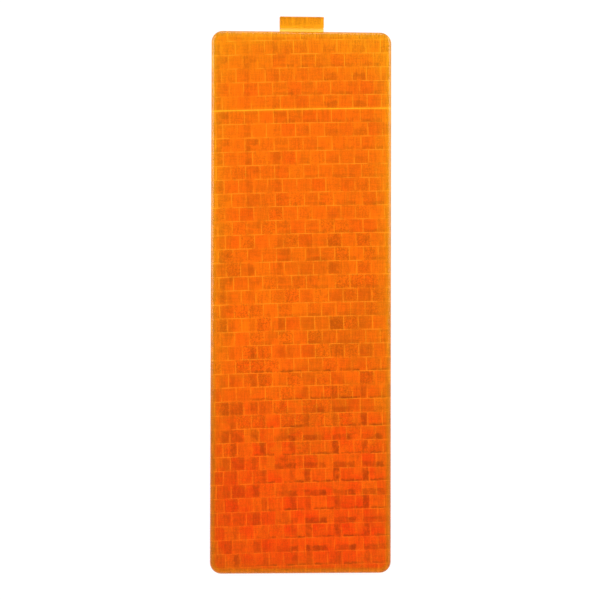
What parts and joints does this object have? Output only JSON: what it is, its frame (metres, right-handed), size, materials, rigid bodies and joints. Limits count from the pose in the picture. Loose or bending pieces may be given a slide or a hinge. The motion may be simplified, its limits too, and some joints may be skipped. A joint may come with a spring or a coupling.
{
  "type": "stick-on reflex reflector",
  "caption": "Flat amber stick-on reflex reflector: rounded rectangular prismatic lens with a small snap-off tab, sealed backing, foam tape and release liner.",
  "frame": {"origin": "centre of the lens outline on the underside of the release liner, the face the part lies on", "axes": "+Z out of the reflecting face, +Y along the length towards the snap-off tab, +X to the right seen from the front"},
  "size_m": [0.0382, 0.1173, 0.0039],
  "materials": {
    "amber_face": "clear amber acrylic sheet, polished front",
    "amber_prism": "amber prismatic sheet, cells in running bond with pale seams",
    "seal_amber": "welded amber bead",
    "white_film": "white backing film",
    "clear_glue": "clear pressure-sensitive adhesive",
    "grey_foam": "grey closed-cell foam",
    "liner_paper": "silicone-coated release paper"
  },
  "bodies": {
    "root": {"face_sheet": "amber_face", "prism_sheet": "amber_prism", "edge_seal": "seal_amber", "backing_film": "white_film", "tape_front_adhesive": "clear_glue", "tape_foam_core": "grey_foam", "tape_rear_adhesive": "clear_glue", "release_liner": "liner_paper"}
  },
  "joints": []
}
